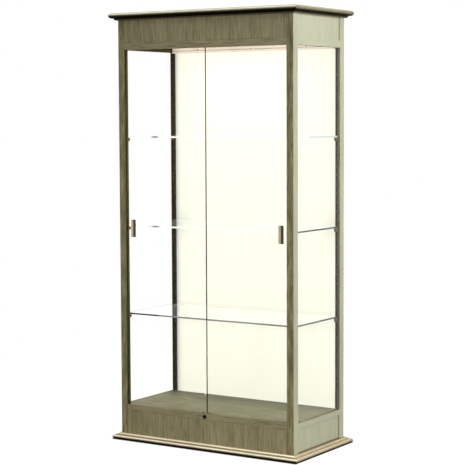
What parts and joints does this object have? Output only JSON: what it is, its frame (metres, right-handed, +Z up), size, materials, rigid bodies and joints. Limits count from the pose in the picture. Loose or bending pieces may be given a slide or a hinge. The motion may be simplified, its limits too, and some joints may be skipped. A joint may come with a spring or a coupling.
{
  "type": "display case",
  "caption": "Tall floor-standing display case with a wooden frame, glass sides, sliding glass doors with a lock, glass shelves on pegs and a light in its header.",
  "frame": {"origin": "on the floor, under the middle of the case", "axes": "+X to the right seen from the front, +Y to the back, +Z up; the doors are closed, the lock is open and the light switch is on"},
  "size_m": [0.924, 0.48, 1.829],
  "materials": {
    "oak": "satin grey-olive oak with straight grain",
    "soffit_board": "smooth pale tan laminate",
    "ivory_panel": "smooth ivory laminate",
    "hardboard": "plain hardboard",
    "pane_glass": "clear float glass",
    "shelf_glass": "clear float glass with dark polished edges",
    "peg_plastic": "brown, lightly textured",
    "track_metal": "satin bronze anodised",
    "pull_metal": "satin bronze anodised",
    "shoe_nylon": "natural nylon",
    "strike_metal": "fine brushed",
    "lock_black": "satin black",
    "lock_steel": "machined",
    "tray_paint": "gloss white",
    "opal_lens": "opal diffuser",
    "led_white": "white board",
    "clip_metal": "dark bronze",
    "driver_case": "white moulded case",
    "black_plastic": "moulded black",
    "pin_brass": "plated contact"
  },
  "bodies": {
    "case": {"post_front_left": "oak", "post_front_right": "oak", "post_rear_left": "oak", "post_rear_right": "oak", "base_rail_front": "oak", "base_rail_left": "oak", "base_rail_right": "oak", "header_rail_front": "oak", "header_rail_left": "oak", "header_rail_right": "oak", "base_panel_front": "oak", "base_panel_left": "oak", "base_panel_right": "oak", "base_panel_rear": "oak", "header_panel_front": "oak", "header_panel_left": "oak", "header_panel_right": "oak", "header_panel_rear": "oak", "plinth_front": "oak", "plinth_left": "oak", "plinth_right": "oak", "plinth_rear": "oak", "crown_front": "oak", "crown_left": "oak", "crown_right": "oak", "crown_rear": "oak", "top_panel": "oak", "deck": "oak", "soffit": "soffit_board", "rear_cleat": "soffit_board", "back_panel": "ivory_panel", "back_board": "hardboard", "side_glass_left": "pane_glass", "side_glass_right": "pane_glass", "shelf_pegs": "peg_plastic", "lower_track": "track_metal", "upper_track": "track_metal", "lock_housing": "lock_black", "light_tray": "tray_paint", "light_lens": "opal_lens", "led_boards": "led_white", "lens_clips": "clip_metal", "light_driver": "driver_case", "power_inlet": "black_plastic", "switch_housing": "black_plastic", "inlet_pins": "pin_brass"},
    "left_door": {"left_door_glass": "pane_glass", "left_door_shoes": "shoe_nylon", "left_door_pull": "pull_metal", "left_door_strike": "strike_metal"},
    "right_door": {"right_door_glass": "pane_glass", "right_door_shoes": "shoe_nylon", "right_door_pull": "pull_metal", "right_door_strike": "strike_metal"},
    "lock_plug": {"lock_plug": "lock_steel"},
    "lock_bolt": {"lock_bolt": "lock_steel"},
    "shelf_1": {"shelf_1": "shelf_glass"},
    "shelf_2": {"shelf_2": "shelf_glass"},
    "shelf_3": {"shelf_3": "shelf_glass"},
    "switch_rocker": {"switch_rocker": "black_plastic"}
  },
  "joints": [
    {"name": "left_door_slide", "type": "slide", "parent": "case", "child": "left_door", "axis": [1, 0, 0], "range_m": [0, 0.39]},
    {"name": "right_door_slide", "type": "slide", "parent": "case", "child": "right_door", "axis": [1, 0, 0], "range_m": [-0.39, 0]},
    {"name": "lock_turn", "type": "hinge", "parent": "case", "child": "lock_plug", "pos_m": [0, -0.21, 0.138], "axis": [0, -1, 0], "range_deg": [0, 90]},
    {"name": "lock_bolt_lift", "type": "slide", "parent": "case", "child": "lock_bolt", "axis": [0, 0, 1], "range_m": [0, 0.00594]},
    {"name": "shelf_1_lift", "type": "slide", "parent": "case", "child": "shelf_1", "axis": [0, 0, 1], "range_m": [0, 0.0381]},
    {"name": "shelf_2_lift", "type": "slide", "parent": "case", "child": "shelf_2", "axis": [0, 0, 1], "range_m": [0, 0.0381]},
    {"name": "shelf_3_lift", "type": "slide", "parent": "case", "child": "shelf_3", "axis": [0, 0, 1], "range_m": [0, 0.0381]},
    {"name": "switch_rock", "type": "hinge", "parent": "case", "child": "switch_rocker", "pos_m": [-0.27, 0.203, 1.736], "axis": [1, 0, 0], "range_deg": [-16, 0]}
  ],
  "couplings": [
    {"joint": "lock_turn", "follows": "lock_bolt_lift", "rad_per_m": 264.44}
  ]
}
